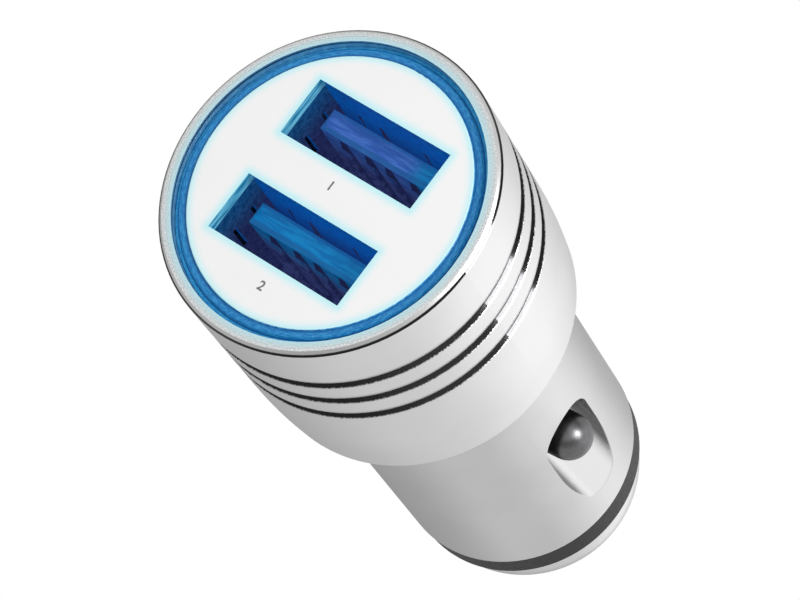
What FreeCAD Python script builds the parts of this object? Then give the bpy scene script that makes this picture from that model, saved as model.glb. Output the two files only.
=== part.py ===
import FreeCAD, Part
import math
import os
from FreeCAD import Vector

# Twin-port car charger. Millimetres. The origin is the centre of the round front face, on the
# plane of its rim. +Z runs from the face to the sprung tip, and X lies along the ports' long side.

# Turned shell, head
head_radius = 13.4
head_length = 22.9
head_straight = 14.7
head_fall = 0.4
head_rear_round = 0.9
head_wall = 1.5
rear_web = 2.0
rim_width = 1.1
rim_chamfer = 0.35
ring_seat_depth = 7.0

# Decorative grooves round the head
groove_count = 3
groove_first = 5.75
groove_pitch = 2.85
groove_depth = 0.42
groove_lead = 0.95
groove_flank = 0.34

# Turned shell, barrel
barrel_radius = 10.4
barrel_length = 27.5
barrel_wall = 1.6
barrel_chamfer = 0.3

# Scoop and boss for each side contact
contact_turn = -5.0
contact_from_end = 13.0
contact_proud = 1.3
contact_radius = 2.0
contact_travel = 1.3
contact_flange = 0.7
contact_flange_thickness = 0.6
scoop_side_gap = 0.92
scoop_front_gap = 2.2
scoop_corner = 1.6
scoop_length = 13.8
scoop_angle = 15.5
boss_thickness = 1.25
boss_side = 1.2
boss_lead = 1.2
boss_front_margin = 1.2
boss_rear_gap = 0.6

# Light ring and face plate
light_band = 1.0
ring_recess = 0.45
ring_outer_drop = 0.45
ring_skirt = 0.85
ring_flange_width = 0.97
ring_flange_thickness = 1.1
plate_recess = 0.3
plate_thickness = 1.0
plate_edge_round = 0.15

# Ports
port_board_gap = 0.78
opening_width = 12.9
opening_height = 5.02
mouth_lip = 0.09
shell_wall = 0.3
shell_corner = 0.45
shell_length = 13.65
end_spring_width = 1.8
end_spring_start = 2.25
end_spring_length = 2.6
long_spring_width = 1.8
long_spring_x = 3.3
long_spring_start = 3.25
long_spring_length = 4.6
spring_slot = 0.4
spring_bend = 4.0
leg_length = 2.0
leg_front = 4.0
leg_spacing = 6.5

# Port insulator and contact strips
tongue_side_gap = 0.9
tongue_thickness = 1.8
tongue_offset = 0.8
tongue_recess = 1.35
tongue_chamfer = 0.35
groove_from_front = 0.6
block_length = 3.0
block_recess = 0.4
strip_pitches = (-3.5, -1.0, 1.0, 3.5)
strip_width = 0.9
strip_thickness = 0.25
strip_groove_depth = 0.45
strip_hump = 0.3
strip_from_front = 0.8
strip_hump_at = 1.3
strip_hump_end = 2.8
strip_tail = 1.0
strip_foot = 1.4

# Circuit board
board_thickness = 1.6
board_front_gap = 1.2
board_head_gap = 0.8
board_tail_gap = 1.6
board_edge_gap = 0.5
board_corner = 0.6

# Parts on the board
led_width = 1.6
led_height = 1.1
led_length = 2.8
led_lens_proud = 0.35
chip_length = 4.9
chip_width = 3.9
chip_height = 1.45
chip_standoff = 0.1
chip_chamfer = 0.2
chip_from_feet = 0.43
chip_shift = 0.6
chip_lead_count = 4
chip_lead_pitch = 1.27
chip_lead_width = 0.42
chip_lead_reach = 1.0
chip_lead_thickness = 0.18
diode_length = 4.3
diode_width = 2.6
diode_height = 2.1
diode_chamfer = 0.25
diode_shift = 0.4
diode_tab_width = 1.4
diode_tab_thickness = 0.2
diode_tab_foot = 0.5
coil_radius = 3.4
coil_core_radius = 1.7
coil_flange = 0.8
coil_height = 4.4
coil_turns = 5
coil_winding_inset = 0.3
coil_from_chip = 0.5
capacitor_wall_gap = 1.7
capacitor_length = 7.7
output_capacitor_radius = 2.5
output_capacitor_length = 5.0
capacitor_crimp = 0.25
capacitor_crimp_half = 0.4
capacitor_crimp_back = 1.2
capacitor_edge = 0.3
capacitor_lead_out = 0.8
capacitor_from_step = 1.0
capacitor_spacing = 0.7
lead_radius = 0.25
chip_part_length = 1.6
chip_part_width = 0.8
chip_part_height = 0.55
chip_part_inset = 0.05
chip_part_pitch = 1.8
chip_part_rows = 2
chip_part_from_edge = 3.0
chip_part_from_port = 2.2
chip_part_from_wall = 1.7
chip_part_from_step = 6.2

# Nose
insulator_band = 2.5
insulator_inset = 0.17
insulator_spigot = 5.1
insulator_spigot_wall = 1.55
insulator_web = 1.4
nose_wall = 2.63
insulator_edge = 0.15
slot_rib_thickness = 1.2
slot_lap = 0.6
nose_length = 7.5
nose_inset = 0.5
nose_cylinder = 1.0
nose_front_radius = 5.0
nose_front_wall = 1.5
nose_front_round = 0.5

# Sprung tip
pin_radius = 2.5
pin_proud = 4.3
pin_travel = 2.5
pin_flange = 1.1
pin_flange_thickness = 0.95
pin_tail_radius = 1.5
pin_tail_length = 2.2
pin_tail_chamfer = 0.3
pin_spring_radius = 2.3
pin_spring_wire = 0.22
pin_spring_turns = 7
contact_spring_radius = 1.6
contact_spring_wire = 0.15
contact_spring_turns = 3
terminal_thickness = 0.3
terminal_width = 3.0
terminal_pad = 2.0
seat_rim = 0.9
seat_leg = 2.2

# Clearances
press_gap = 0.05
running_gap = 0.04
stop_gap = 0.05
part_gap = 0.02
spring_gap = 0.15

# Sizes worked out from the ones above
barrel_end = head_length + barrel_length
ring_seat_radius = head_radius - rim_width
head_bore = head_radius - head_wall
barrel_bore = barrel_radius - barrel_wall
head_bore_end = head_length - rear_web
skirt_radius = ring_seat_radius - press_gap - ring_skirt
plate_radius = ring_seat_radius - press_gap - light_band
plate_rear = plate_recess + plate_thickness
ring_flange_radius = plate_radius - ring_flange_width
ring_flange_rear = plate_rear + ring_flange_thickness
shell_front = plate_rear + part_gap
shell_rear = shell_front + shell_length
shell_inner_height = opening_height + 2 * mouth_lip
shell_outer_x = opening_width / 2 + shell_wall
shell_outer_y = shell_inner_height / 2 + shell_wall
feet_end = shell_rear + strip_tail + strip_foot
chip_front = feet_end + chip_from_feet
coil_centre = chip_front + chip_length + coil_from_chip + coil_radius
tongue_front = shell_front + tongue_recess
tongue_half_width = opening_width / 2 - tongue_side_gap
block_rear = shell_rear - block_recess
block_front = block_rear - block_length
board_face = board_thickness / 2
board_front = ring_flange_rear + board_front_gap
board_head_half_width = skirt_radius - board_head_gap
port_offset = shell_outer_y + board_face + port_board_gap
contact_z = barrel_end - contact_from_end
contact_flange_radius = contact_radius + contact_flange
scoop_half_width = contact_radius + scoop_side_gap
scoop_front = contact_z - contact_radius - scoop_front_gap
scoop_z = scoop_front + scoop_half_width
scoop_depth = (scoop_length - scoop_half_width) * math.tan(math.radians(scoop_angle))
scoop_floor = barrel_radius - scoop_depth
boss_face = scoop_floor - boss_thickness
boss_front = scoop_front - boss_front_margin
boss_half_width = contact_flange_radius + boss_side
dome_centre = barrel_radius + contact_proud - contact_radius
flange_front = boss_face - stop_gap
flange_back = flange_front - contact_flange_thickness
insulator_radius = barrel_radius - insulator_inset
insulator_rear = barrel_end - insulator_spigot
insulator_front_radius = insulator_radius - nose_wall
boss_rear = insulator_rear - boss_rear_gap
nose_base = barrel_end + insulator_band
nose_front = nose_base + nose_length
web_rear = barrel_end + insulator_band - insulator_web
spigot_bore = barrel_bore - press_gap - insulator_spigot_wall
cavity_front = nose_front - nose_front_wall
pin_flange_front = cavity_front - stop_gap
pin_flange_back = pin_flange_front - pin_flange_thickness
pin_tip = nose_front + pin_proud
pin_flange_radius = pin_radius + pin_flange
pin_cavity = pin_flange_radius + spring_gap
spigot_front = pin_flange_back - pin_travel - stop_gap
cavity_rear = spigot_front + press_gap
closed_spring = 2 * contact_spring_wire * (contact_spring_turns + 1)
pad_face = flange_back - contact_travel - closed_spring - spring_gap
pad_back = pad_face - terminal_thickness
board_neck_half_width = pad_back - part_gap
terminal_finger = board_neck_half_width / 2
board_step = head_bore_end - board_edge_gap
board_neck_front = boss_front - board_edge_gap
board_tail_front = insulator_rear - board_edge_gap / 2
board_rear = barrel_end - insulator_band
board_barrel_half_width = barrel_bore - board_edge_gap
board_tail_half_width = spigot_bore - board_tail_gap
capacitor_radius = (barrel_bore - board_face - capacitor_wall_gap) / 2
capacitor_front = board_step + capacitor_from_step
capacitor_tail = capacitor_front + capacitor_length + capacitor_lead_out + lead_radius
seat_back = board_rear + part_gap
seat_face = seat_back + terminal_thickness
seat_radius = pin_spring_radius + pin_spring_wire + 2 * spring_gap + terminal_thickness


def flat_xy(z):
    """Map (x, y) on the plane at height z."""
    return lambda x, y: Vector(x, y, z)


def flat_xz(y):
    """Map (x, z) on the plane at depth y."""
    return lambda x, z: Vector(x, y, z)


def flat_yz(x):
    """Map (y, z) on the plane at x."""
    return lambda y, z: Vector(x, y, z)


def face(place, start, *steps):
    """Face inside a closed outline. A step is an end point, or an arc's middle and end points."""
    edges = []
    here = place(*start)
    for step in steps + (start,):
        if isinstance(step[0], tuple):
            end = place(*step[1])
            edges.append(Part.Arc(here, place(*step[0]), end).toShape())
        else:
            end = place(*step)
            if here.distanceToPoint(end) > 1e-6:
                edges.append(Part.LineSegment(here, end).toShape())
        here = end
    return Part.Face(Part.Wire(edges))


def turned(start, *steps):
    """Solid turned about Z from an outline of (radius, z) points."""
    return face(flat_xz(0), start, *steps).revolve(Vector(0, 0, 0), Vector(0, 0, 1), 360)


def cylinder(radius, low, high, x=0, y=0):
    return Part.makeCylinder(radius, high - low, Vector(x, y, low), Vector(0, 0, 1))


def tube(outer, inner, low, high):
    return cylinder(outer, low, high).cut(cylinder(inner, low - 1, high + 1))


def block(low, high):
    """Box between two opposite corners."""
    size = [b - a for a, b in zip(low, high)]
    return Part.makeBox(*size, Vector(*low))


def falling_arc(radius, z, fall, length):
    """Middle and end points of an arc that leaves a cylinder's side smoothly and drops by fall."""
    bend = (length ** 2 + fall ** 2) / (2 * fall)
    half = math.asin(length / bend) / 2
    middle = (radius - bend * (1 - math.cos(half)), z + bend * math.sin(half))
    return middle, (radius - fall, z + length)


def quarter(corner, start, end):
    """Middle and end points of a quarter round that replaces a square corner."""
    share = 1 - math.sqrt(0.5)
    middle = tuple(c + share * ((s - c) + (e - c)) for c, s, e in zip(corner, start, end))
    return middle, end


def rounded_box(half_x, half_y, radius, low, high, y=0):
    """Upright bar with rounded long edges, centred on x = 0."""
    bar = block((-half_x, y - half_y, low), (half_x, y + half_y, high))
    upright = [e for e in bar.Edges if abs(e.tangentAt(e.FirstParameter).z) > 0.9]
    return bar.makeFillet(radius, upright)


def strip(points, thickness, place, width):
    """Bent sheet strip: a centre line of points, thickened in its plane and given a width."""
    sides = [[], []]
    for i, (a, b) in enumerate(points):
        before = points[i - 1] if i else None
        after = points[i + 1] if i + 1 < len(points) else None
        normals = []
        for p, q in ((before, (a, b)), ((a, b), after)):
            if p and q:
                length = math.hypot(q[0] - p[0], q[1] - p[1])
                normals.append(((p[1] - q[1]) / length, (q[0] - p[0]) / length))
        total = [sum(n[k] for n in normals) for k in (0, 1)]
        stretch = len(normals) / (total[0] ** 2 + total[1] ** 2)
        for side, sign in zip(sides, (1, -1)):
            reach = sign * stretch * thickness / 2
            side.append((a + reach * total[0], b + reach * total[1]))
    loop = sides[0] + sides[1][::-1]
    return face(place, loop[0], *loop[1:]).extrude(width)


def coil_spring(radius, wire, length, turns):
    """Open coil along Z from z = 0 to its length, bent from half turns that each lean upwards."""
    rise = (length - 2 * wire) / (2 * turns)
    halves = []
    for i in range(2 * turns):
        side = 1 - 2 * (i % 2)
        low = wire + i * rise
        ring = Part.makeCircle(wire, Vector(side * radius, 0, low), Vector(0, 1, 0))
        axis = Vector(side * rise, 0, 2 * radius)
        section = Part.Face(Part.Wire(ring))
        halves.append(section.revolve(Vector(0, 0, low + rise / 2), axis, 180))
    return halves[0].multiFuse(halves[1:])


def side_frames():
    """Turn angles of the two side contacts."""
    return (contact_turn, contact_turn + 180)


def on_side(shape, angle):
    """Place a shape modelled on +X at one of the side contacts."""
    placed = shape.copy()
    placed.rotate(Vector(0, 0, 0), Vector(0, 0, 1), angle)
    return placed


def groove_steps():
    """Outline of the grooves: a rounded front edge, then a bright flank back up to the side."""
    steps = []
    for i in range(groove_count):
        bottom = groove_first + i * groove_pitch
        steps.append((head_radius, bottom - groove_lead))
        steps.append(falling_arc(head_radius, bottom - groove_lead, groove_depth, groove_lead))
        steps.append((head_radius, bottom + groove_flank))
    return steps


def scoop():
    """Space milled for a side contact: a round-cornered cutter plunged in, then run up a slope."""
    r = scoop_half_width
    flat = r - scoop_corner
    side = scoop_floor + scoop_corner
    outside = head_radius + r
    plunge = turned((0, scoop_floor), (flat, scoop_floor),
                    quarter((r, scoop_floor), (flat, scoop_floor), (r, side)),
                    (r, outside), (0, outside))
    plunge.rotate(Vector(0, 0, 0), Vector(0, 1, 0), 90)
    plunge.translate(Vector(0, 0, scoop_z))
    section = face(flat_xy(scoop_z), (scoop_floor, -flat), (scoop_floor, flat),
                   quarter((scoop_floor, r), (scoop_floor, flat), (side, r)),
                   (outside, r), (outside, -r), (side, -r),
                   quarter((scoop_floor, -r), (side, -r), (scoop_floor, -flat)))
    lift = scoop_length * math.tan(math.radians(scoop_angle))
    return plunge.fuse(section.extrude(Vector(lift, 0, scoop_length)))


def contact_boss():
    """Thick pad inside the barrel that carries the scoop and guides the side contact."""
    root = barrel_bore + barrel_wall / 3
    side = face(flat_xz(-boss_half_width), (boss_face, boss_front + boss_lead),
                (root, boss_front), (root, boss_rear), (boss_face, boss_rear - boss_lead))
    pad = side.extrude(Vector(0, 2 * boss_half_width, 0))
    return pad.common(cylinder(root, boss_front - 1, boss_rear + 1))


def housing():
    shoulder_z = head_length - head_rear_round
    shoulder = falling_arc(head_radius, head_straight, head_fall, shoulder_z - head_straight)
    rear_radius = head_radius - head_fall
    shell = turned((ring_seat_radius, 0), (head_radius - rim_chamfer, 0),
                   (head_radius, rim_chamfer), *groove_steps(), (head_radius, head_straight),
                   shoulder,
                   quarter((rear_radius, head_length), (rear_radius, shoulder_z),
                           (rear_radius - head_rear_round, head_length)),
                   (barrel_radius, head_length), (barrel_radius, barrel_end - barrel_chamfer),
                   (barrel_radius - barrel_chamfer, barrel_end), (barrel_bore, barrel_end),
                   (barrel_bore, head_bore_end), (head_bore, head_bore_end),
                   (head_bore, ring_seat_depth), (ring_seat_radius, ring_seat_depth))
    guide = contact_radius + running_gap
    for angle in side_frames():
        shell = shell.fuse(on_side(contact_boss(), angle))
    for angle in side_frames():
        shell = shell.cut(on_side(scoop(), angle))
        bore = Part.makeCylinder(guide, head_radius, Vector(boss_face - 1, 0, contact_z),
                                 Vector(1, 0, 0))
        shell = shell.cut(on_side(bore, angle))
    return shell.removeSplitter()


def light_ring():
    """Clear blue light guide: a two-level bright band, a long skirt and a ledge for the plate."""
    outer = ring_seat_radius - press_gap
    inner = plate_radius + part_gap
    band = (inner + outer) / 2
    rear = ring_seat_depth - part_gap
    return turned((inner, ring_recess), (band, ring_recess),
                  (outer, ring_recess + ring_outer_drop), (outer, rear), (skirt_radius, rear),
                  (skirt_radius, ring_flange_rear), (ring_flange_radius, ring_flange_rear),
                  (ring_flange_radius, plate_rear), (inner, plate_rear))


def face_plate():
    plate = cylinder(plate_radius, plate_recess, plate_rear)
    front = [e for e in plate.Edges if abs(e.BoundBox.ZMax - plate_recess) < 1e-3
             and e.BoundBox.ZLength < 1e-3]
    plate = plate.makeFillet(plate_edge_round, front)
    for y in port_centres():
        plate = plate.cut(block((-opening_width / 2, y - opening_height / 2, 0),
                                (opening_width / 2, y + opening_height / 2, plate_rear + 1)))
    return plate


def port_centres():
    return (-port_offset, port_offset)


def spring_cut(width, start, length):
    """U-shaped slot round a spring finger, on the plane of u across and z along."""
    half = width / 2
    end = start + length
    outer = half + spring_slot
    return ((-outer, start), (-half, start), (-half, end), (half, end), (half, start),
            (outer, start), (outer, end + spring_slot), (-outer, end + spring_slot))


def port_shell(y, toward_board):
    """Folded steel shell of one port, with its spring fingers and board legs."""
    half_x = opening_width / 2
    half_y = shell_inner_height / 2
    body = rounded_box(shell_outer_x, shell_outer_y, shell_corner, shell_front, shell_rear, y)
    inner = rounded_box(half_x, half_y, shell_corner - shell_wall / 2, shell_front - 1,
                        shell_rear + 1, y)
    body = body.cut(inner)
    for sign in (-1, 1):
        cut = spring_cut(end_spring_width, shell_front + end_spring_start, end_spring_length)
        points = [(y + u, z) for u, z in cut]
        low_x = min(sign * half_x, sign * shell_outer_x)
        slot = face(flat_yz(low_x - 0.1), points[0], *points[1:])
        body = body.cut(slot.extrude(Vector(shell_wall + 0.2, 0, 0)))
        cut = spring_cut(long_spring_width, shell_front + long_spring_start, long_spring_length)
        low_y = y + min(sign * half_y, sign * shell_outer_y)
        for x in (-long_spring_x, long_spring_x):
            points = [(x + u, z) for u, z in cut]
            slot = face(flat_xz(low_y - 0.1), points[0], *points[1:])
            body = body.cut(slot.extrude(Vector(0, shell_wall + 0.2, 0)))
        for front in (leg_front, leg_front + leg_spacing):
            z = shell_front + front
            edge = y + toward_board * (shell_outer_y - shell_corner)
            near, far = sorted((edge, toward_board * -board_face))
            body = body.fuse(block((low_x, near, z), (low_x + shell_wall, far, z + leg_length)))
    return body.removeSplitter()


def bent_fingers(y):
    """Thin wedges that give the cut fingers their inward bend."""
    fingers = []
    rise = math.tan(math.radians(spring_bend))
    for sign in (-1, 1):
        wall = sign * opening_width / 2
        start = shell_front + end_spring_start
        end = start + end_spring_length
        bend = face(flat_xz(y - end_spring_width / 2), (wall, start),
                    (wall - sign * rise * end_spring_length, end), (wall, end))
        fingers.append(bend.extrude(Vector(0, end_spring_width, 0)))
        wall = y + sign * shell_inner_height / 2
        start = shell_front + long_spring_start
        end = start + long_spring_length
        for x in (-long_spring_x, long_spring_x):
            bend = face(flat_yz(x - long_spring_width / 2), (wall, start),
                        (wall - sign * rise * long_spring_length, end), (wall, end))
            fingers.append(bend.extrude(Vector(long_spring_width, 0, 0)))
    return fingers


def strip_level(y):
    """Middle of the contact strips where they lie in the tongue."""
    surface = y - tongue_offset + tongue_thickness / 2
    return surface - strip_groove_depth + strip_thickness / 2 + part_gap


def port_insulator(y):
    """Moulded block that closes the back of a port and carries the tongue."""
    low = y - tongue_offset - tongue_thickness / 2
    high = low + tongue_thickness
    tongue = block((-tongue_half_width, low, tongue_front), (tongue_half_width, high, block_front))
    front = [e for e in tongue.Edges if e.BoundBox.ZMax < tongue_front + 1e-3]
    tongue = tongue.makeChamfer(tongue_chamfer, front)
    half_x = opening_width / 2 - press_gap
    half_y = shell_inner_height / 2 - press_gap
    back = rounded_box(half_x, half_y, shell_corner, block_front, block_rear, y)
    body = tongue.fuse(back)
    half = strip_width / 2 + press_gap
    for x in strip_pitches:
        groove = block((x - half, high - strip_groove_depth, tongue_front + groove_from_front),
                       (x + half, high + part_gap, block_rear + 1))
        body = body.cut(groove)
    return body.removeSplitter()


def port_contacts(y, toward_board):
    """Four sprung strips: a hump on the tongue, a run through the block and a foot on the board."""
    level = strip_level(y)
    front = tongue_front + strip_from_front
    tail = shell_rear + strip_tail
    foot = -toward_board * (board_face + strip_thickness / 2)
    line = [(level, front), (level + strip_hump, front + strip_hump_at),
            (level, front + strip_hump_end), (level, tail), (foot, tail),
            (foot, tail + strip_foot)]
    strips = []
    for x in strip_pitches:
        width = Vector(strip_width, 0, 0)
        strips.append(strip(line, strip_thickness, flat_yz(x - strip_width / 2), width))
    return Part.makeCompound(strips)


def main_board():
    """Board between the two ports, stepped to the bores and necked between the side contacts."""
    steps = ((board_head_half_width, board_front), (board_head_half_width, board_step),
             (board_barrel_half_width, board_step), (board_barrel_half_width, board_neck_front),
             (board_neck_half_width, board_neck_front), (board_neck_half_width, board_tail_front),
             (board_tail_half_width, board_tail_front), (board_tail_half_width, board_rear))
    loop = steps + tuple((-x, z) for x, z in reversed(steps))
    board = face(flat_xz(-board_face), loop[0], *loop[1:]).extrude(Vector(0, board_thickness, 0))
    corners = [e for e in board.Edges if e.BoundBox.YLength > board_thickness / 2
               and abs(e.BoundBox.ZMax - board_front) < 1e-3]
    return board.makeFillet(board_corner, corners)


def led(side):
    """Blue lamp at the board's front corner, which shines into the light ring's skirt."""
    x = side * (board_head_half_width - led_width)
    z = board_front + board_corner
    low = min(x, x + side * led_width)
    body = block((low, board_face, z), (low + led_width, board_face + led_height, z + led_length))
    lens = Part.makeCylinder(led_height / 2 - part_gap, led_width / 2 + led_lens_proud,
                             Vector(x + side * led_width / 2, board_face + led_height / 2,
                                    z + led_length / 2), Vector(side, 0, 0))
    return body.fuse(lens)


def converter_chip():
    """Converter chip with gull-wing leads on both long sides."""
    x0 = chip_shift - board_barrel_half_width / 2
    z0 = chip_front
    low = board_face + chip_standoff
    body = block((x0 - chip_width / 2, low, z0),
                 (x0 + chip_width / 2, low + chip_height, z0 + chip_length))
    top = [e for e in body.Edges if e.BoundBox.YMin > low + chip_height - 1e-3]
    body = body.makeChamfer(chip_chamfer, top)
    middle = low + chip_height / 2
    foot = board_face + chip_lead_thickness / 2 + part_gap
    first = z0 + (chip_length - (chip_lead_count - 1) * chip_lead_pitch) / 2
    for i in range(chip_lead_count):
        z = first + i * chip_lead_pitch - chip_lead_width / 2
        for side in (-1, 1):
            edge = x0 + side * chip_width / 2
            step = side * chip_lead_reach
            line = [(edge - step / 5, middle), (edge + step / 3, middle),
                    (edge + step / 2, foot), (edge + step, foot)]
            width = Vector(0, 0, chip_lead_width)
            lead = strip(line, chip_lead_thickness, flat_xy(z), width)
            body = body.fuse(lead)
    return body.removeSplitter()


def rectifier_diode():
    """Moulded diode with its two folded tabs, beside the converter chip."""
    x0 = board_barrel_half_width / 2 - diode_shift
    z0 = chip_front
    body = block((x0 - diode_width / 2, board_face + chip_standoff, z0),
                 (x0 + diode_width / 2, board_face + diode_height, z0 + diode_length))
    top = [e for e in body.Edges if e.BoundBox.YMin > board_face + diode_height - 1e-3]
    body = body.makeChamfer(diode_chamfer, top)
    middle = board_face + diode_height / 2
    foot = board_face + diode_tab_thickness / 2 + part_gap
    for z, way in ((z0, -1), (z0 + diode_length, 1)):
        out = z + way * diode_tab_thickness
        line = [(middle, z - way * diode_tab_thickness), (middle, out), (foot, out),
                (foot, z - way * diode_tab_foot)]
        width = Vector(diode_tab_width, 0, 0)
        tab = strip(line, diode_tab_thickness, flat_yz(x0 - diode_tab_width / 2), width)
        body = body.fuse(tab)
    return body.removeSplitter()


def upright_on_board(shape):
    """Stand a shape turned about Z on the board's +Y face."""
    placed = shape.copy()
    placed.rotate(Vector(0, 0, 0), Vector(1, 0, 0), -90)
    placed.translate(Vector(0, board_face, coil_centre))
    return placed


def inductor_core():
    """Drum core: two flanges on a thin waist."""
    top = coil_height - coil_flange
    return upright_on_board(turned((0, 0), (coil_radius, 0), (coil_radius, coil_flange),
                                   (coil_core_radius, coil_flange), (coil_core_radius, top),
                                   (coil_radius, top), (coil_radius, coil_height),
                                   (0, coil_height)))


def inductor_winding():
    """Layered winding on the drum, with the rounded turns of its wire."""
    low = coil_flange + part_gap
    high = coil_height - coil_flange - part_gap
    pitch = (high - low) / coil_turns
    outer = coil_radius - coil_winding_inset
    steps = []
    for i in range(coil_turns):
        z = low + i * pitch
        steps.append(((outer, z + pitch / 2), (outer - pitch / 3, z + pitch)))
    inner = coil_core_radius + part_gap
    return upright_on_board(turned((inner, low), (outer - pitch / 3, low), *steps, (inner, high)))


def lying_capacitor(radius, length, z, side):
    """Can capacitor that lies on the board, with a crimp, a rubber bung and two bent leads."""
    y = side * (board_face + radius + part_gap)
    crimp = length - capacitor_crimp_back
    edge = capacitor_edge
    can = turned((0, 0), (radius - edge, 0), quarter((radius, 0), (radius - edge, 0), (radius, edge)),
                 (radius, crimp - capacitor_crimp_half),
                 ((radius - capacitor_crimp, crimp), (radius, crimp + capacitor_crimp_half)),
                 (radius, length - edge), (radius - edge, length), (0, length))
    can.translate(Vector(0, y, z))
    tail = z + length
    spread = radius / 2.5
    for sign in (-1, 1):
        bend = Vector(sign * spread, y, tail + capacitor_lead_out)
        out = cylinder(lead_radius, tail - edge, bend.z, bend.x, y)
        down = Part.makeCylinder(lead_radius, abs(y) - board_face, bend, Vector(0, -side, 0))
        elbow = Part.makeSphere(lead_radius, bend)
        can = can.fuse([out, elbow, down])
    return can


def chip_parts():
    """Small chip resistors and capacitors, each a body with two raised end caps."""
    parts = []
    cap = chip_part_length / 4
    half = chip_part_width / 2
    high = board_face + chip_part_height
    inset = chip_part_inset
    places = []
    for side in (-1, 1):
        for row in range(chip_part_rows):
            places.append((side * (board_head_half_width - chip_part_from_edge),
                           shell_rear + chip_part_from_port + row * chip_part_pitch))
        places.append((side * (board_barrel_half_width - chip_part_from_wall),
                       board_step + chip_part_from_step))
    for x, z in places:
        body = block((x - half + inset, board_face, z),
                     (x + half - inset, high - inset, z + chip_part_length))
        for start in (z, z + chip_part_length - cap):
            body = body.fuse(block((x - half, board_face, start), (x + half, high, start + cap)))
        parts.append(body.removeSplitter())
    return Part.makeCompound(parts)


def nose_insulator():
    """Black moulded collar: a plain band outside, spigots both ways and two slots for the board."""
    outer = barrel_bore - press_gap
    edge = insulator_edge
    core = pin_spring_radius + pin_spring_wire + 2 * spring_gap
    front = spigot_front
    body = turned((spigot_bore, insulator_rear), (outer - edge, insulator_rear),
                  (outer, insulator_rear + edge), (outer, barrel_end),
                  (insulator_radius - edge, barrel_end), (insulator_radius, barrel_end + edge),
                  (insulator_radius, nose_base - edge), (insulator_radius - edge, nose_base),
                  (insulator_front_radius, nose_base), (insulator_front_radius, front - edge),
                  (insulator_front_radius - edge, front), (core, front), (core, web_rear),
                  (spigot_bore, web_rear))
    slot = board_face + press_gap
    for sign in (-1, 1):
        near = board_tail_half_width - slot_lap
        low_x, high_x = sorted((sign * near, sign * (spigot_bore + slot_lap / 2)))
        rib = block((low_x, -slot - slot_rib_thickness, insulator_rear),
                    (high_x, slot + slot_rib_thickness, web_rear + 0.1))
        low_x, high_x = sorted((sign * (near - 1), sign * (board_tail_half_width + press_gap)))
        groove = block((low_x, -slot, insulator_rear - 1), (high_x, slot, board_rear + press_gap))
        body = body.fuse(rib.cut(groove))
    return body.removeSplitter()


def nose_cap():
    """Metal nose: a short cylinder that curves in to a rounded end round the tip."""
    base = insulator_radius - nose_inset
    belt = nose_base + nose_cylinder
    seat = insulator_front_radius + press_gap
    hole = pin_radius + running_gap
    mouth = nose_front_radius + nose_front_round
    mouth_z = nose_front - nose_front_round
    curve = falling_arc(base, belt, base - mouth, mouth_z - belt)
    return turned((seat, nose_base + part_gap), (base, nose_base + part_gap), (base, belt), curve,
                  quarter((mouth, nose_front), (mouth, mouth_z), (nose_front_radius, nose_front)),
                  (hole, nose_front), (hole, cavity_front), (pin_cavity, cavity_front),
                  (pin_cavity, cavity_rear), (seat, cavity_rear))


def centre_pin():
    """Sprung tip: a domed pin with a flange that stops it inside the nose, and a spring tail."""
    dome = pin_tip - pin_radius
    low = pin_flange_back
    share = math.sqrt(0.5)
    tail = low - pin_tail_length
    return turned((0, tail), (pin_tail_radius - pin_tail_chamfer, tail),
                  (pin_tail_radius, tail + pin_tail_chamfer), (pin_tail_radius, low),
                  (pin_flange_radius, low), (pin_flange_radius, pin_flange_front),
                  (pin_radius, pin_flange_front), (pin_radius, dome),
                  ((share * pin_radius, dome + share * pin_radius), (0, pin_tip)))


def pin_spring():
    length = pin_flange_back - seat_face - 2 * part_gap
    spring = coil_spring(pin_spring_radius, pin_spring_wire, length, pin_spring_turns)
    spring.translate(Vector(0, 0, seat_face + part_gap))
    return spring


def pin_terminal():
    """Brass cup that the spring sits in, with two legs that grip the end of the board."""
    cup = turned((0, seat_back), (seat_radius, seat_back), (seat_radius, seat_back + seat_rim),
                 (seat_radius - terminal_thickness, seat_back + seat_rim),
                 (seat_radius - terminal_thickness, seat_face), (0, seat_face))
    for side in (-1, 1):
        near, far = sorted((side * board_face, side * (board_face + terminal_thickness)))
        leg = block((-terminal_width / 2, near, board_rear - seat_leg),
                    (terminal_width / 2, far, seat_back + terminal_thickness / 2))
        cup = cup.fuse(leg)
    return cup.removeSplitter()


def side_contact(angle):
    """Domed side contact, with the flange that keeps it in the barrel."""
    share = math.sqrt(0.5)
    r = contact_radius
    stud = turned((0, flange_back), (contact_flange_radius, flange_back),
                  (contact_flange_radius, flange_front), (r, flange_front), (r, dome_centre),
                  ((share * r, dome_centre + share * r), (0, dome_centre + r)))
    stud.rotate(Vector(0, 0, 0), Vector(0, 1, 0), 90)
    stud.translate(Vector(0, 0, contact_z))
    return on_side(stud, angle)


def contact_spring(angle):
    start = pad_face + spring_gap
    length = flange_back - part_gap - start
    spring = coil_spring(contact_spring_radius, contact_spring_wire, length,
                         contact_spring_turns)
    spring.rotate(Vector(0, 0, 0), Vector(0, 1, 0), 90)
    spring.translate(Vector(start, 0, contact_z))
    return on_side(spring, angle)


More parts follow.
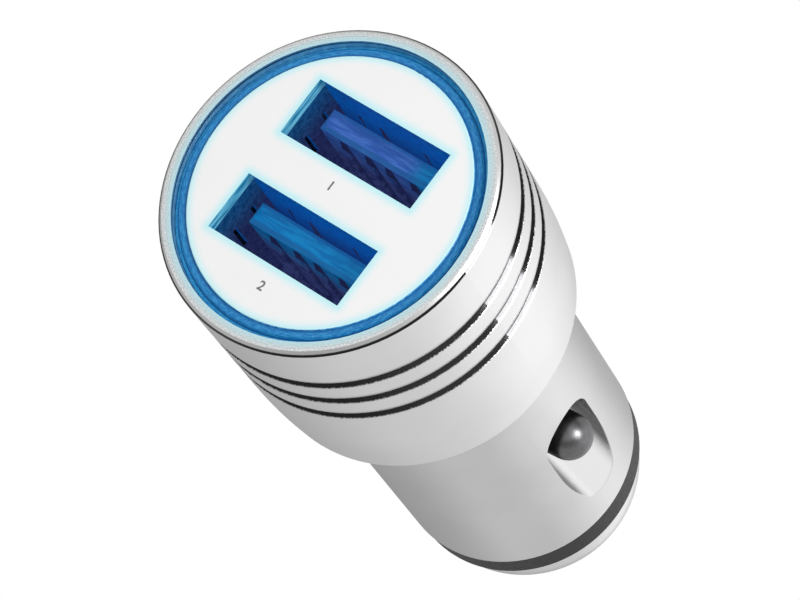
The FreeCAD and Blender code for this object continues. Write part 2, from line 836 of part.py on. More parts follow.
def contact_terminal(side):
    """Clip on the edge of the board's neck, with a pad that the contact's spring pushes on."""
    inner = pad_back - terminal_finger
    reach = board_face + terminal_thickness
    clip = face(flat_xy(contact_z - terminal_pad), (pad_face, -terminal_pad),
                (pad_face, terminal_pad), (pad_back, terminal_pad), (pad_back, reach),
                (inner, reach), (inner, board_face), (pad_back, board_face),
                (pad_back, -board_face), (inner, -board_face), (inner, -reach),
                (pad_back, -reach), (pad_back, -terminal_pad))
    clip = clip.extrude(Vector(0, 0, 2 * terminal_pad))
    if side < 0:
        clip.rotate(Vector(0, 0, 0), Vector(0, 0, 1), 180)
    return clip


def build():
    low_port, high_port = port_centres()
    first_side, second_side = side_frames()
    nodes = {
        "housing": housing(),
        "face_plate": face_plate(),
        "light_ring": light_ring(),
        "main_board": main_board(),
        "led_1": led(1),
        "led_2": led(-1),
        "converter_chip": converter_chip(),
        "rectifier_diode": rectifier_diode(),
        "inductor_core": inductor_core(),
        "inductor_winding": inductor_winding(),
        "input_capacitor": lying_capacitor(capacitor_radius, capacitor_length,
                                           capacitor_front, -1),
        "output_capacitor": lying_capacitor(output_capacitor_radius, output_capacitor_length,
                                            capacitor_tail + capacitor_spacing, -1),
        "chip_parts": chip_parts(),
        "nose_insulator": nose_insulator(),
        "nose_cap": nose_cap(),
        "centre_pin": centre_pin(),
        "pin_spring": pin_spring(),
        "pin_terminal": pin_terminal(),
    }
    for name, y, toward_board in (("port_1", low_port, 1), ("port_2", high_port, -1)):
        shell = port_shell(y, toward_board).fuse(bent_fingers(y)).removeSplitter()
        nodes[name + "_shell"] = shell
        nodes[name + "_insulator"] = port_insulator(y)
        nodes[name + "_contacts"] = port_contacts(y, toward_board)
    for name, angle, side in (("1", first_side, 1), ("2", second_side, -1)):
        nodes["side_contact_" + name] = side_contact(angle)
        nodes["contact_spring_" + name] = contact_spring(angle)
        nodes["contact_terminal_" + name] = contact_terminal(side)
    return nodes


os.makedirs("parts", exist_ok=True)
for name, shape in build().items():
    box = shape.BoundBox
    print(name, len(shape.Solids), "valid" if shape.isValid() else "NOT VALID",
          "volume %.2f" % shape.Volume, "z %.2f to %.2f" % (box.ZMin, box.ZMax))
    shape.exportStep("parts/" + name + ".step")
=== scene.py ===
import math
import bpy
from mathutils import Matrix, Vector


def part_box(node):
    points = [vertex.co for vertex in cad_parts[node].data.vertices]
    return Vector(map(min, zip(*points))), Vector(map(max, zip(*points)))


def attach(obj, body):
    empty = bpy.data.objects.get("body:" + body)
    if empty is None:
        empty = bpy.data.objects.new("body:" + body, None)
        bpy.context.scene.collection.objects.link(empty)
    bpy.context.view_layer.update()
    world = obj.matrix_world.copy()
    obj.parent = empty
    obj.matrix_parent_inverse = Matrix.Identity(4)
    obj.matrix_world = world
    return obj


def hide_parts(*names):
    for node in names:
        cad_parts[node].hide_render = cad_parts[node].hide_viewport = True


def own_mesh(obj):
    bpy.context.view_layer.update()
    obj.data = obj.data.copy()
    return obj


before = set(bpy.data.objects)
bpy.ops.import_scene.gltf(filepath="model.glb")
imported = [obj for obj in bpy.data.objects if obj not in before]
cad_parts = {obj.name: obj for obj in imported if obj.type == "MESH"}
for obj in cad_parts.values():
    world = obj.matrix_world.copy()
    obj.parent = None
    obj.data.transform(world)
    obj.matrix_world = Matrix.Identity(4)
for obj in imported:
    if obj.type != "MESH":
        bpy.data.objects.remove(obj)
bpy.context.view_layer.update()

# Metres. The axis is Z, the face looks down, and X lies along the ports.
MM = 0.001
RIM_CHAMFER = 0.35 * MM
GROOVE_FIRST = 5.75 * MM
GROOVE_PITCH = 2.85 * MM
GROOVE_FLANK = 0.34 * MM
GROOVE_COUNT = 3
HEAD_END = 22.9 * MM
PORT_OFFSET = 4.48 * MM
PORT_HALF_X = 6.45 * MM
PORT_HALF_Y = 2.51 * MM
PLATE_FRONT = 0.3 * MM
PLATE_REAR = 1.3 * MM
PLATE_RADIUS = 11.25 * MM
BAND_STEP = 11.94 * MM
BAND_END = 12.3 * MM
TONGUE_FRONT = 2.67 * MM
SCOOP_EDGE = 10.37 * MM
SCOOP_FRONT = 33.2 * MM
CONTACT_TURN = math.radians(-5.0)
CONTACT_Z = 37.4 * MM
CONTACT_SPRING_START = 2.983 * MM
CONTACT_SPRING_LENGTH = 2.48 * MM
CONTACT_SPRING_TURNS = 3
CONTACT_SPRING_RADIUS = 1.6 * MM
CONTACT_SPRING_WIRE = 0.15 * MM
TIP_SPRING_TURNS = 7
TIP_SPRING_RADIUS = 2.3 * MM
TIP_SPRING_WIRE = 0.22 * MM
NUMERAL_HEIGHT = 0.8 * MM
NUMERAL_THICKNESS = 0.004 * MM
FLOOR_HALF = 1.5
FLOOR_Z = -0.2 * MM


# Numbers and colours that vary over a surface

class Field:
    """A number that varies over a surface, with ordinary arithmetic on it."""

    def __init__(self, tree, socket):
        self.tree = tree
        self.socket = socket

    def math(self, operation, *others):
        node = self.tree.nodes.new("ShaderNodeMath")
        node.operation = operation
        for slot, value in zip(node.inputs, (self,) + others):
            if isinstance(value, Field):
                self.tree.links.new(value.socket, slot)
            else:
                slot.default_value = value
        return Field(self.tree, node.outputs[0])

    def __add__(self, other):
        return self.math("ADD", other)

    def __sub__(self, other):
        return self.math("SUBTRACT", other)

    def __mul__(self, other):
        return self.math("MULTIPLY", other)

    def __truediv__(self, other):
        return self.math("DIVIDE", other)

    def __abs__(self):
        return self.math("ABSOLUTE")

    def least(self, other):
        return self.math("MINIMUM", other)

    def most(self, other):
        return self.math("MAXIMUM", other)

    def rise(self, low, high, bottom=0.0, top=1.0):
        """Smooth rise from bottom at low to top at high."""
        node = self.tree.nodes.new("ShaderNodeMapRange")
        node.interpolation_type = "SMOOTHSTEP"
        self.tree.links.new(self.socket, node.inputs["Value"])
        node.inputs["From Min"].default_value = low
        node.inputs["From Max"].default_value = high
        node.inputs["To Min"].default_value = bottom
        node.inputs["To Max"].default_value = top
        return Field(self.tree, node.outputs["Result"])

    def fall(self, low, high):
        """Smooth fall from 1 at low to 0 at high."""
        return self.rise(low, high, 1.0, 0.0)

    def band(self, low, high, soft):
        """1 between low and high, 0 outside, with soft ends."""
        return self.rise(low - soft, low + soft) * self.fall(high - soft, high + soft)


def total(fields):
    """Sum of a list of fields."""
    result = fields[0]
    for field in fields[1:]:
        result = result + field
    return result


class Paint:
    """A material under construction: its place fields, noise, mixes and its shader."""

    def __init__(self, name, **values):
        self.material = bpy.data.materials.new(name)
        self.material.use_nodes = True
        self.tree = self.material.node_tree
        self.shader = self.tree.nodes["Principled BSDF"]
        self.place = self.tree.nodes.new("ShaderNodeTexCoord").outputs["Object"]
        split = self.tree.nodes.new("ShaderNodeSeparateXYZ")
        self.tree.links.new(self.place, split.inputs[0])
        self.x, self.y, self.z = (Field(self.tree, out) for out in split.outputs)
        self.radius = (self.x * self.x + self.y * self.y).math("SQRT")
        for key, value in values.items():
            self.shader.inputs[key.replace("_", " ")].default_value = value

    def normal(self):
        """The surface's own direction, as three fields."""
        source = self.tree.nodes.new("ShaderNodeNewGeometry").outputs["Normal"]
        split = self.tree.nodes.new("ShaderNodeSeparateXYZ")
        self.tree.links.new(source, split.inputs[0])
        return [Field(self.tree, out) for out in split.outputs]

    def vector(self, x, y, z):
        join = self.tree.nodes.new("ShaderNodeCombineXYZ")
        for slot, value in zip(join.inputs, (x, y, z)):
            if isinstance(value, Field):
                self.tree.links.new(value.socket, slot)
            else:
                slot.default_value = value
        return join.outputs[0]

    def noise(self, size, detail=3.0, place=None, roughness=0.5):
        """Noise whose grains are about size metres across."""
        node = self.tree.nodes.new("ShaderNodeTexNoise")
        node.inputs["Scale"].default_value = 1 / size
        node.inputs["Detail"].default_value = detail
        node.inputs["Roughness"].default_value = roughness
        self.tree.links.new(place or self.place, node.inputs["Vector"])
        return Field(self.tree, node.outputs[0])

    def mix(self, amount, low, high):
        """Colour between low and high."""
        node = self.tree.nodes.new("ShaderNodeMix")
        node.data_type = "RGBA"
        self.tree.links.new(amount.socket, node.inputs["Factor"])
        for slot, value in ((node.inputs[6], low), (node.inputs[7], high)):
            if isinstance(value, tuple):
                slot.default_value = (*value, 1.0)
            else:
                self.tree.links.new(value, slot)
        return node.outputs[2]

    def colour(self, source, slot="Base Color"):
        self.tree.links.new(source, self.shader.inputs[slot])

    def drive(self, slot, field):
        self.tree.links.new(field.socket, self.shader.inputs[slot])

    def bump(self, field, depth):
        node = self.tree.nodes.new("ShaderNodeBump")
        node.inputs["Strength"].default_value = 1.0
        node.inputs["Distance"].default_value = depth
        self.tree.links.new(field.socket, node.inputs["Height"])
        self.tree.links.new(node.outputs[0], self.shader.inputs["Normal"])

    def port_distance(self):
        """Distance from the edge of the nearer port opening, 0 inside it."""
        out_x = (abs(self.x) - PORT_HALF_X).most(0.0)
        out_y = (abs(abs(self.y) - PORT_OFFSET) - PORT_HALF_Y).most(0.0)
        return (out_x * out_x + out_y * out_y).math("SQRT")


def two_tone(name, low, high, size, roughness, metallic=0.0, spread=0.1, depth=0.0, **values):
    """Plain finish with fine uneven tone and gloss."""
    paint = Paint(name, Metallic=metallic, **values)
    grain = paint.noise(size)
    paint.colour(paint.mix(grain.rise(0.3, 0.7), low, high))
    paint.drive("Roughness", grain.rise(0.25, 0.75, roughness - spread, roughness + spread))
    if depth:
        paint.bump(grain, depth)
    return paint.material


# Finishes

def satin_metal():
    """Satin turned metal: bead-blasted rim and a smoother barrel whose darker base is partly
    painted shade. The flanks and chamfer are smoother and painted dark as painted reflection lines;
    painted shade darkens the rounded approach to each groove and the groove bottoms; the scoops
    have a lighter floor and walls darkened with painted shade; and painted blue light from the ring
    lies on the rim."""
    paint = Paint("satin_metal", Specular_IOR_Level=0.1)
    x, y, z = paint.normal()
    rim = z.fall(-0.95, -0.85) * paint.z.fall(0.1 * MM, 0.2 * MM)
    chamfer = paint.z.band(0.2 * MM, RIM_CHAMFER, 0.03 * MM) - rim
    speck = paint.noise(0.14 * MM, 4.0, None, 0.7)
    ragged = paint.z - (speck - 0.5) * 0.25 * MM
    flanks, crease_shades, lead_shades = [], [], []
    for i in range(GROOVE_COUNT):
        bottom = GROOVE_FIRST + i * GROOVE_PITCH
        top = bottom + GROOVE_FLANK
        flanks.append(paint.z.rise(bottom - 0.06 * MM, bottom)
                      * ragged.fall(top - 0.07 * MM, top))
        # Painted shade: the groove bottoms are painted near black and made non-metal.
        crease_shades.append(paint.z.band(bottom - 0.04 * MM, bottom + 0.09 * MM, 0.03 * MM))
        # Painted shade: a grey band on the rounded approach into each groove.
        lead_shades.append(paint.z.rise(bottom - 1.0 * MM, bottom - 0.45 * MM)
                     * paint.z.fall(bottom, top))
    flank, crease_shade, lead_shade = total(flanks), total(crease_shades), total(lead_shades)
    # The flanks and chamfer are smoother, and their colour is painted dark as painted reflection
    # lines.
    polished_and_painted_dark = (flank + chamfer.most(0.0)).least(1.0)
    barrel = paint.z.rise(HEAD_END - 0.02 * MM, HEAD_END + 0.02 * MM)
    around = paint.vector(paint.radius, paint.z, 0.0)
    lines = paint.noise(0.09 * MM, 2.0, around)
    grain = paint.noise(0.12 * MM, 4.0)
    cloud = paint.noise(6 * MM, 2.0)
    tone = (grain * 0.4 + lines * 0.6).rise(0.35, 0.65)
    head = paint.mix(cloud.rise(0.3, 0.7), (0.805, 0.805, 0.81), (0.835, 0.835, 0.835))
    # The barrel's darker base is partly its finish and partly painted shade.
    shaft_finish_and_shade = paint.mix(cloud.rise(0.3, 0.7), (0.65, 0.65, 0.66), (0.68, 0.68, 0.68))
    side = paint.mix(barrel, paint.mix(lead_shade * 0.75, head, (0.42, 0.42, 0.425)), shaft_finish_and_shade)
    scoop = (paint.radius.fall(SCOOP_EDGE - 0.08 * MM, SCOOP_EDGE)
             * paint.z.rise(SCOOP_FRONT - 0.2 * MM, SCOOP_FRONT - 0.1 * MM))
    outward = (x * paint.x + y * paint.y) / paint.radius
    # Painted shade: the steep walls of the scoops are painted dark; the scoop floor is a lighter
    # tone.
    steep_wall_shade = outward.fall(0.45, 0.94) * scoop
    side = paint.mix(scoop, side, (0.74, 0.74, 0.74))
    side = paint.mix(steep_wall_shade, side, (0.16, 0.16, 0.165))
    blasted = paint.mix(speck.rise(0.42, 0.60), (0.72, 0.735, 0.74), (1.0, 1.0, 1.0))
    # Painted reflection: dark lines on the flanks and chamfer, near black in the groove bottoms.
    dark = paint.mix(speck.rise(0.56, 0.72), (0.06, 0.06, 0.062), (0.16, 0.16, 0.165))
    dark = paint.mix(crease_shade, dark, (0.02, 0.02, 0.021))
    # Painted light: blue glow from the ring on the rim, in colour and emission.
    painted_ring_light = paint.radius.fall(BAND_END, BAND_END + 0.8 * MM) * rim
    blasted = paint.mix(painted_ring_light * 0.8, blasted, (0.58, 0.86, 0.92))
    paint.colour(paint.mix(polished_and_painted_dark, paint.mix(rim, side, blasted), dark))
    satin = barrel.rise(0.0, 1.0, 0.40, 0.27) + rim * 0.02 + (cloud - 0.5) * 0.04
    paint.drive("Roughness", (satin - polished_and_painted_dark * 0.3).most(0.1))
    paint.drive("Metallic", crease_shade * -1.0 + 1.0)
    paint.colour(paint.mix(painted_ring_light, (0.0, 0.0, 0.0), (0.25, 0.8, 1.0)), "Emission Color")
    paint.drive("Emission Strength", painted_ring_light * painted_ring_light * 0.12)
    paint.bump(tone * rim, 0.012 * MM)
    return paint.material


def white_plate():
    """Glossy white plate, with painted blue light round the ports, on the slot walls and along its
    outer edge, and the ring's blue glow painted on its outer edge."""
    paint = Paint("white_plate", IOR=1.5)
    z = paint.normal()[2]
    edge = paint.port_distance()
    front = z.fall(-0.8, -0.6)
    wall = (front * -1.0 + 1.0) * paint.radius.fall(PLATE_RADIUS - 0.3 * MM,
                                                     PLATE_RADIUS - 0.1 * MM)
    mottle = paint.noise(0.5 * MM, 4.0)
    # Painted light: a cyan halo round the ports and along the outer edge, in colour and faint
    # emission.
    outer = paint.radius.rise(PLATE_RADIUS - 1.1 * MM, PLATE_RADIUS)
    painted_halo_light = edge.fall(0.0, 1.15 * MM).most(outer)
    painted_halo_light = painted_halo_light * painted_halo_light
    white = paint.mix(paint.noise(4 * MM).rise(0.3, 0.7), (0.90, 0.90, 0.90), (0.91, 0.91, 0.91))
    painted_halo_white = paint.mix(painted_halo_light, white, (0.53, 0.86, 0.91))
    fine = paint.noise(0.35 * MM, 4.0, paint.vector(paint.x, paint.y * 0.15, paint.z * 2.0))
    # Painted light: the slot walls glow blue, paler on the end wall towards -X.
    glow = paint.mix(fine.rise(0.35, 0.65), (0.008, 0.11, 0.21), (0.10, 0.34, 0.46))
    deep = paint.mix(mottle.rise(0.35, 0.65), (0.0, 0.045, 0.21), (0.0, 0.07, 0.28))
    end = paint.x.fall(-PORT_HALF_X, -PORT_HALF_X + 0.3 * MM)
    inside = paint.mix(end, deep, glow)
    # Painted light: the ring's blue glow on the plate's outer edge, in colour and emission.
    border = paint.radius.rise(PLATE_RADIUS - 0.1 * MM, PLATE_RADIUS - 0.05 * MM)
    blue = paint.mix(mottle.rise(0.35, 0.65), (0.004, 0.12, 0.34), (0.024, 0.21, 0.45))
    paint.colour(paint.mix(border, paint.mix(wall, painted_halo_white, inside), blue))
    paint.drive("Roughness", mottle.rise(0.3, 0.7, 0.23, 0.27))
    glowing = paint.mix(wall, (0.3, 0.9, 1.0), inside)
    paint.colour(paint.mix(border, glowing, blue), "Emission Color")
    strength = painted_halo_light * front * 0.03 + wall * 0.6
    paint.drive("Emission Strength", strength.most(border * 0.3))
    return paint.material


def light_guide():
    """Clear blue light guide: two bands with a dark line between them, and fine sparkle."""
    paint = Paint("light_guide", Roughness=0.16, IOR=1.49, Specular_IOR_Level=0.25)
    around = paint.vector(paint.radius * 5.0, paint.x, paint.y)
    streak = paint.noise(0.5 * MM, 4.0, around, 0.6)
    spark = paint.noise(0.16 * MM, 3.0, None, 0.65)
    inner = paint.mix(streak.rise(0.38, 0.64), (0.004, 0.12, 0.34), (0.024, 0.21, 0.45))
    outer = paint.mix(streak.rise(0.38, 0.64), (0.008, 0.18, 0.45), (0.045, 0.30, 0.55))
    tone = paint.mix(paint.radius.rise(BAND_STEP - 0.03 * MM, BAND_STEP + 0.03 * MM), inner, outer)
    line = paint.radius.band(BAND_STEP - 0.06 * MM, BAND_STEP + 0.04 * MM, 0.03 * MM)
    edge = paint.radius.fall(PLATE_RADIUS, PLATE_RADIUS + 0.25 * MM)
    tone = paint.mix(line.most(edge * 0.8), tone, (0.001, 0.065, 0.22))
    tone = paint.mix(spark.rise(0.60, 0.72) * 0.5, tone, (0.12, 0.40, 0.62))
    paint.colour(tone)
    paint.colour(tone, "Emission Color")
    paint.shader.inputs["Emission Strength"].default_value = 0.3
    paint.bump(spark, 0.008 * MM)
    return paint.material


def port_steel():
    """Plated steel coloured with painted blue light and painted shade from the lit ports: teal
    ends, deep blue and violet inside, darker deeper in, and glowing.
    """
    paint = Paint("port_steel", Metallic=0.75)
    x, y = paint.normal()[:2]
    rub = paint.noise(0.4 * MM, 4.0, None, 0.6)
    grain = rub.rise(0.35, 0.65)
    # Painted light and shade: blue by depth and by which way the wall faces, also used as emission.
    teal = paint.mix(grain, (0.002, 0.035, 0.11), (0.008, 0.065, 0.17))
    violet = paint.mix(grain, (0.010, 0.015, 0.065), (0.018, 0.026, 0.095))
    blue = paint.mix(grain, (0.0, 0.05, 0.24), (0.001, 0.075, 0.31))
    end = paint.mix(paint.z.rise(PLATE_REAR, 5 * MM), teal, violet)
    lit = paint.mix(paint.z.rise(3 * MM, 9 * MM), blue, (0.002, 0.02, 0.12))
    tone = paint.mix(abs(x).rise(0.6, 0.8), paint.mix(y.rise(0.4, 0.6), violet, lit), end)
    paint.colour(tone)
    paint.colour(tone, "Emission Color")
    paint.drive("Roughness", rub.rise(0.3, 0.7, 0.25, 0.45))
    paint.shader.inputs["Emission Strength"].default_value = 0.8
    return paint.material


def port_plastic():
    """Clear blue moulding of the tongues, with painted light as if lit from behind and painted
    shade deeper in, a little more violet in port 1.
    """
    paint = Paint("port_plastic", IOR=1.5, Specular_IOR_Level=0.12)
    z = paint.normal()[2]
    swirl = paint.noise(0.7 * MM, 4.0, None, 0.6)
    along = paint.vector(paint.x * 0.25, paint.y * 2.0, paint.z)
    streak = paint.noise(0.5 * MM, 4.0, along, 0.6).rise(0.38, 0.64)
    first = paint.y.fall(-1 * MM, 1 * MM) * paint.x.fall(2.6 * MM, 4.4 * MM)
    violet = paint.mix(streak, (0.018, 0.075, 0.30), (0.044, 0.125, 0.41))
    azure = paint.mix(streak, (0.0, 0.12, 0.33), (0.003, 0.185, 0.43))
    face = paint.mix(first, azure, violet)
    bevel = z.rise(-0.9, -0.75) * z.fall(-0.4, -0.2)
    face = paint.mix(bevel * 0.5, face, (0.03, 0.15, 0.38))
    # Painted shade: the tongues darken deeper into the port.
    depth = paint.z.rise(TONGUE_FRONT + 0.3 * MM, 8 * MM)
    shade = paint.mix(swirl.rise(0.35, 0.65), (0.010, 0.014, 0.065), (0.03, 0.04, 0.13))
    tone = paint.mix(depth, face, shade)
    paint.colour(tone)
    paint.colour(tone, "Emission Color")
    paint.drive("Roughness", swirl.rise(0.3, 0.7, 0.12, 0.3))
    paint.drive("Emission Strength", depth.rise(0.0, 1.0, 0.4, 0.7))
    paint.bump(streak, 0.004 * MM)
    return paint.material


def board_green():
    """Green board with paler copper traces under the mask."""
    paint = Paint("board_green", Coat_Weight=0.3)
    trace = paint.noise(1.1 * MM, 1.0, paint.vector(paint.x, 0.0, paint.z * 0.4))
    tracks = trace.band(0.47, 0.53, 0.01)
    grain = paint.noise(0.2 * MM)
    mask = paint.mix(grain.rise(0.3, 0.7), (0.005, 0.10, 0.035), (0.008, 0.14, 0.05))
    paint.colour(paint.mix(tracks, mask, (0.02, 0.24, 0.09)))
    paint.drive("Roughness", grain.rise(0.3, 0.7, 0.3, 0.42))
    return paint.material


FINISHES = {
    "satin_metal": satin_metal(),
    "white_plate": white_plate(),
    "light_guide": light_guide(),
    "port_steel": port_steel(),
    "port_plastic": port_plastic(),
    "board_green": board_green(),
    "lamp": two_tone("lamp", (0.55, 0.7, 0.9), (0.7, 0.85, 1.0), 0.4 * MM, 0.25, IOR=1.5),
    "black_mould": two_tone("black_mould", (0.018, 0.018, 0.02), (0.035, 0.035, 0.038), 0.15 * MM,
                            0.45, depth=0.005 * MM),
    "ferrite": two_tone("ferrite", (0.03, 0.03, 0.032), (0.06, 0.058, 0.055), 0.2 * MM, 0.6),
    "copper_wire": two_tone("copper_wire", (0.55, 0.20, 0.07), (0.72, 0.30, 0.12), 0.3 * MM, 0.3,
                            metallic=0.9),
    "can": two_tone("can", (0.62, 0.63, 0.65), (0.75, 0.76, 0.78), 0.6 * MM, 0.3, metallic=1.0),
    "ceramic": two_tone("ceramic", (0.30, 0.25, 0.20), (0.55, 0.52, 0.48), 0.4 * MM, 0.4),
    "nose_plastic": two_tone("nose_plastic", (0.009, 0.009, 0.0095), (0.018, 0.018, 0.0185),
                             0.25 * MM, 0.42, depth=0.004 * MM, Specular_IOR_Level=0.25),
    "nose_metal": two_tone("nose_metal", (0.74, 0.74, 0.75), (0.77, 0.77, 0.78), 0.3 * MM, 0.34,
                           metallic=1.0, spread=0.03),
    "tip_metal": two_tone("tip_metal", (0.70, 0.68, 0.65), (0.74, 0.72, 0.69), 0.2 * MM, 0.2,
                          metallic=1.0, spread=0.03),
    "spring_steel": two_tone("spring_steel", (0.45, 0.45, 0.46), (0.6, 0.6, 0.61), 0.3 * MM, 0.25,
                             metallic=1.0),
    "brass_plate": two_tone("brass_plate", (0.62, 0.44, 0.16), (0.75, 0.56, 0.24), 0.5 * MM, 0.28,
                            metallic=1.0),
    # Painted blue light and shade: the gold strips are coloured dark blue and glow.
    "gold_strip": two_tone("gold_strip", (0.07, 0.07, 0.14), (0.16, 0.15, 0.26), 0.3 * MM, 0.3,
                           metallic=0.8, Emission_Color=(0.01, 0.015, 0.06, 1.0),
                           Emission_Strength=0.5),
    "contact_steel": two_tone("contact_steel", (0.165, 0.165, 0.17), (0.195, 0.195, 0.20), 0.6 * MM,
                              0.36, metallic=1.0, spread=0.03),
    "ink": two_tone("ink", (0.13, 0.13, 0.13), (0.19, 0.19, 0.19), 0.1 * MM, 0.6),
}
NODE_FINISH = {
    "housing": "satin_metal",
    "face_plate": "white_plate",
    "light_ring": "light_guide",
    "main_board": "board_green",
    "converter_chip": "black_mould",
    "rectifier_diode": "black_mould",
    "inductor_core": "ferrite",
    "inductor_winding": "copper_wire",
    "input_capacitor": "can",
    "output_capacitor": "can",
    "chip_parts": "ceramic",
    "nose_insulator": "nose_plastic",
    "nose_cap": "nose_metal",
    "centre_pin": "tip_metal",
    "pin_spring": "spring_steel",
    "pin_terminal": "brass_plate",
}
for i in ("1", "2"):
    NODE_FINISH["led_" + i] = "lamp"
    NODE_FINISH["port_" + i + "_shell"] = "port_steel"
    NODE_FINISH["port_" + i + "_insulator"] = "port_plastic"
    NODE_FINISH["port_" + i + "_contacts"] = "gold_strip"
    NODE_FINISH["side_contact_" + i] = "contact_steel"
    NODE_FINISH["contact_spring_" + i] = "spring_steel"
    NODE_FINISH["contact_terminal_" + i] = "brass_plate"
for name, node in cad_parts.items():
    node.data.materials.clear()
    node.data.materials.append(FINISHES[NODE_FINISH[name]])


# Pieces that only the looks need

def numeral(text, x, y):
    """Small printed numeral on the plate, read along X."""
    curve = bpy.data.curves.new("numeral_" + text, "FONT")
    curve.body = text
    curve.align_x = "CENTER"
    curve.align_y = "CENTER"
    curve.extrude = NUMERAL_THICKNESS / 2
    curve.offset = 0.02
    source = bpy.data.objects.new("numeral_source", curve)
    bpy.context.scene.collection.objects.link(source)
    bpy.context.view_layer.update()
    mesh = bpy.data.meshes.new_from_object(source)
    bpy.data.objects.remove(source)
    heights = [v.co.y for v in mesh.vertices]
    scale = NUMERAL_HEIGHT / (max(heights) - min(heights))
    mesh.transform(Matrix.Diagonal((scale, scale, 1, 1)))
    mesh.transform(Matrix.Rotation(math.pi, 4, "X"))
    mesh.transform(Matrix.Translation((x, y, PLATE_FRONT - NUMERAL_THICKNESS / 2)))
    mesh.materials.append(FINISHES["ink"])
    piece = bpy.data.objects.new("numeral_" + text, mesh)
    bpy.context.scene.collection.objects.link(piece)
    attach(piece, "charger")
    return piece


numeral("1", -0.10 * MM, -0.36 * MM)
numeral("2", 0.33 * MM, 8.72 * MM)


def coil(name, node, turns, radius, wire, length, place):
    """Sprung coil. It replaces the CAD solid of the same spring."""
    around, across = 20, 8
    count = turns * around
    rise = length - 2 * wire
    points = []
    for i in range(count + 1):
        angle = 2 * math.pi * i / around
        out = Vector((math.cos(angle), math.sin(angle), 0))
        centre = out * radius + Vector((0, 0, wire + rise * i / count))
        for j in range(across):
            turn = 2 * math.pi * j / across
            points.append(centre + out * wire * math.cos(turn)
                          + Vector((0, 0, wire * math.sin(turn))))
    faces = [tuple(range(across - 1, -1, -1)), tuple(count * across + j for j in range(across))]
    for i in range(count):
        for j in range(across):
            k = (j + 1) % across
            low, high = i * across, (i + 1) * across
            faces.append((low + j, low + k, high + k, high + j))
    mesh = bpy.data.meshes.new(name)
    mesh.from_pydata([place @ p for p in points], [], faces)
    mesh.shade_smooth()
    mesh.materials.append(FINISHES["spring_steel"])
    piece = bpy.data.objects.new(name, mesh)
    bpy.context.scene.collection.objects.link(piece)
    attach(piece, "charger")
    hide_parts(node)
    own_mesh(piece)
    return piece


low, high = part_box("pin_spring")
coil("pin_coil", "pin_spring", TIP_SPRING_TURNS, TIP_SPRING_RADIUS,
     TIP_SPRING_WIRE, high.z - low.z, Matrix.Translation((0, 0, low.z)))
for i, turn in (("1", CONTACT_TURN), ("2", CONTACT_TURN + math.pi)):
    place = (Matrix.Rotation(turn, 4, "Z")
             @ Matrix.Translation((CONTACT_SPRING_START, 0, CONTACT_Z))
             @ Matrix.Rotation(math.pi / 2, 4, "Y"))
    coil("contact_coil_" + i, "contact_spring_" + i,
         CONTACT_SPRING_TURNS, CONTACT_SPRING_RADIUS, CONTACT_SPRING_WIRE,
         CONTACT_SPRING_LENGTH, place)


# Floor, light and camera

def floor():
    """Pale floor under the rim. Its underside lets the low camera and the lights through."""
    mesh = bpy.data.meshes.new("floor")
    corners = [(x * FLOOR_HALF, y * FLOOR_HALF, FLOOR_Z)
               for x, y in ((-1, -1), (1, -1), (1, 1), (-1, 1))]
    mesh.from_pydata(corners, [], [(0, 1, 2, 3)])
    material = bpy.data.materials.new("floor_paint")
    material.use_nodes = True
    nodes, links = material.node_tree.nodes, material.node_tree.links
    shader = nodes["Principled BSDF"]
    shader.inputs["Base Color"].default_value = (0.86, 0.86, 0.86, 1)
    shader.inputs["Roughness"].default_value = 0.8
    clear = nodes.new("ShaderNodeBsdfTransparent")
    side = nodes.new("ShaderNodeNewGeometry")
    mix = nodes.new("ShaderNodeMixShader")
    links.new(side.outputs["Backfacing"], mix.inputs[0])
    links.new(shader.outputs[0], mix.inputs[1])
    links.new(clear.outputs[0], mix.inputs[2])
    links.new(mix.outputs[0], nodes["Material Output"].inputs["Surface"])
    mesh.materials.append(material)
    piece = bpy.data.objects.new("floor", mesh)
    bpy.context.scene.collection.objects.link(piece)
    piece.visible_shadow = False
    piece.visible_glossy = False
    piece.visible_diffuse = False
    piece.visible_transmission = False


def toward(azimuth, elevation):
    """Direction at an azimuth from +X towards +Y and an elevation, in degrees."""
    a, e = math.radians(azimuth), math.radians(elevation)
    return Vector((math.cos(a) * math.cos(e), math.sin(a) * math.cos(e), math.sin(e)))


# Strength of the room's upper half by azimuth, in degrees from +X towards +Y.
ROOM = ((-180, 0.34), (-160, 0.38), (-140, 0.46), (-120, 0.50), (-100, 0.62), (-80, 0.88),
        (-60, 1.10), (-40, 1.18), (-20, 1.10), (0, 0.95), (20, 0.82), (40, 0.70), (60, 0.70),
        (80, 0.72), (100, 0.60), (120, 0.50), (140, 0.44), (160, 0.40), (180, 0.34))


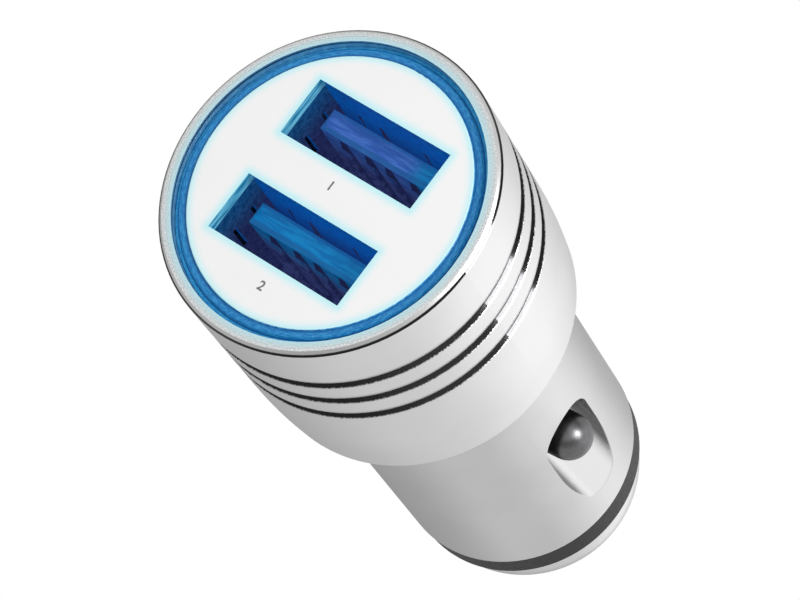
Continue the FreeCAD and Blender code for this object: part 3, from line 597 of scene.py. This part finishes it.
def studio():
    """White room: brightest over one side, darker round the others, with a dark low belt."""
    world = bpy.data.worlds.new("studio")
    bpy.context.scene.world = world
    world.use_nodes = True
    tree = world.node_tree
    back = tree.nodes["Background"]
    direction = tree.nodes.new("ShaderNodeTexCoord").outputs["Generated"]
    split = tree.nodes.new("ShaderNodeSeparateXYZ")
    tree.links.new(direction, split.inputs[0])
    x, y, height = (Field(tree, out) for out in split.outputs)
    turn = y.math("ARCTAN2", x) / (2 * math.pi) + 0.5
    ramp = tree.nodes.new("ShaderNodeValToRGB")
    tree.links.new(turn.socket, ramp.inputs[0])
    stops = ramp.color_ramp.elements
    peak = max(strength for azimuth, strength in ROOM)
    for azimuth, strength in ROOM[1:-1]:
        stops.new((azimuth + 180) / 360)
    for stop, (azimuth, strength) in zip(stops, ROOM):
        stop.color = (strength / peak,) * 3 + (1,)
    upper = Field(tree, ramp.outputs[0]) * peak
    belt = abs(height + 0.42).fall(0.12, 0.36) * 0.5
    lower = height.rise(-0.95, -0.6, 0.95, 0.75) - belt
    light = upper * height.rise(-0.12, 0.12) + lower * height.fall(-0.12, 0.12)
    camera = Field(tree, tree.nodes.new("ShaderNodeLightPath").outputs["Is Camera Ray"])
    light = light * (camera * -1.0 + 1.0) + camera
    tree.links.new(light.socket, back.inputs["Strength"])
    back.inputs["Color"].default_value = (1, 1, 1, 1)


def panel(name, azimuth, elevation, distance, size, watts):
    """Soft square light that looks at the object."""
    light = bpy.data.lights.new(name, "AREA")
    light.shape = "RECTANGLE"
    light.size, light.size_y = size
    light.energy = watts
    lamp = bpy.data.objects.new(name, light)
    centre = Vector((0, 0, 0.03))
    lamp.location = centre + toward(azimuth, elevation) * distance
    lamp.rotation_euler = (centre - lamp.location).to_track_quat("-Z", "Y").to_euler()
    lamp.visible_camera = False
    bpy.context.scene.collection.objects.link(lamp)


def camera():
    """The photograph's camera, fitted to the outline of the head and the barrel."""
    right = Vector((0.74803403, -0.59137287, 0.30120296))
    up = Vector((-0.4573676, -0.78822841, -0.41171696))
    back = right.cross(up)
    place = Vector((0.142591, 0.051009, -0.236218))
    data = bpy.data.cameras.new("camera")
    data.sensor_width = 36
    data.lens = 171.56
    data.clip_start, data.clip_end = 0.01, 20
    eye = bpy.data.objects.new("camera", data)
    eye.matrix_world = Matrix(((right.x, up.x, back.x, place.x), (right.y, up.y, back.y, place.y),
                               (right.z, up.z, back.z, place.z), (0, 0, 0, 1)))
    bpy.context.scene.collection.objects.link(eye)
    bpy.context.scene.camera = eye


floor()
studio()
panel("low_strip", -26, -32, 0.5, (0.2, 0.2), 1.8)
camera()
bpy.context.scene.view_settings.view_transform = "Standard"
